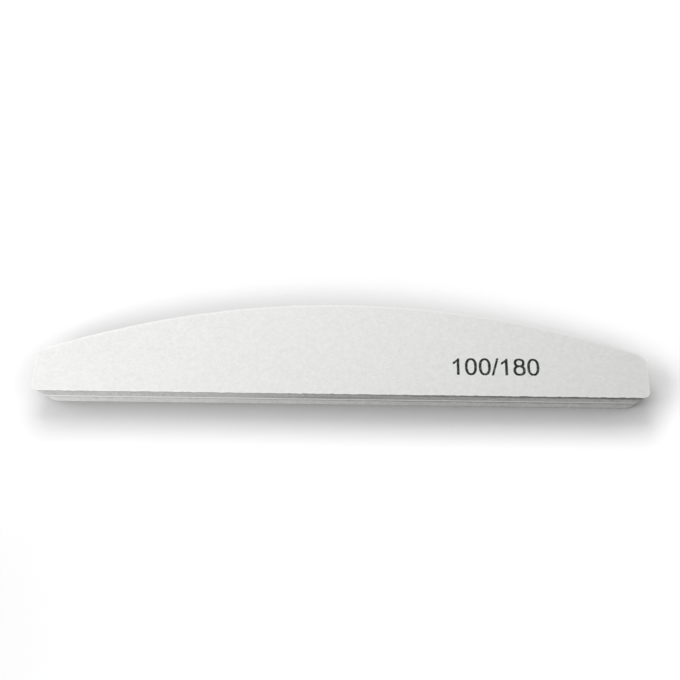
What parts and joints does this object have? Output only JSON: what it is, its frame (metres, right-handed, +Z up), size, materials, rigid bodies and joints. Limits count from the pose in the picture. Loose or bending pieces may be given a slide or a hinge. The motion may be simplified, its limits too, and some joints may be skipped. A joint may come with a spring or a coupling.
{
  "type": "half-moon nail buffer",
  "caption": "Half-moon nail buffer with straight and curved long edges: pale abrasive faces on paper, foam pads and a stiff plastic core, cut as one flat laminate.",
  "frame": {"origin": "on the surface that the buffer lies on, under the middle of its outline", "axes": "+X along the straight edge, +Y from the straight edge to the curved edge, +Z up through the layers to the 100 grit face"},
  "size_m": [0.178, 0.028, 0.0104],
  "materials": {
    "grain_100": "matte",
    "grain_180": "matte",
    "backing_paper": "matte",
    "adhesive": "satin",
    "grey_foam": "matte",
    "pale_grey_foam": "matte",
    "core_plastic": "satin"
  },
  "bodies": {
    "root": {"grain_coat_100": "grain_100", "backing_paper_upper": "backing_paper", "outer_adhesive_upper": "adhesive", "foam_pad_upper": "grey_foam", "inner_adhesive_upper": "adhesive", "core_sheet": "core_plastic", "inner_adhesive_lower": "adhesive", "foam_pad_lower": "pale_grey_foam", "outer_adhesive_lower": "adhesive", "backing_paper_lower": "backing_paper", "grain_coat_180": "grain_180"}
  },
  "joints": []
}
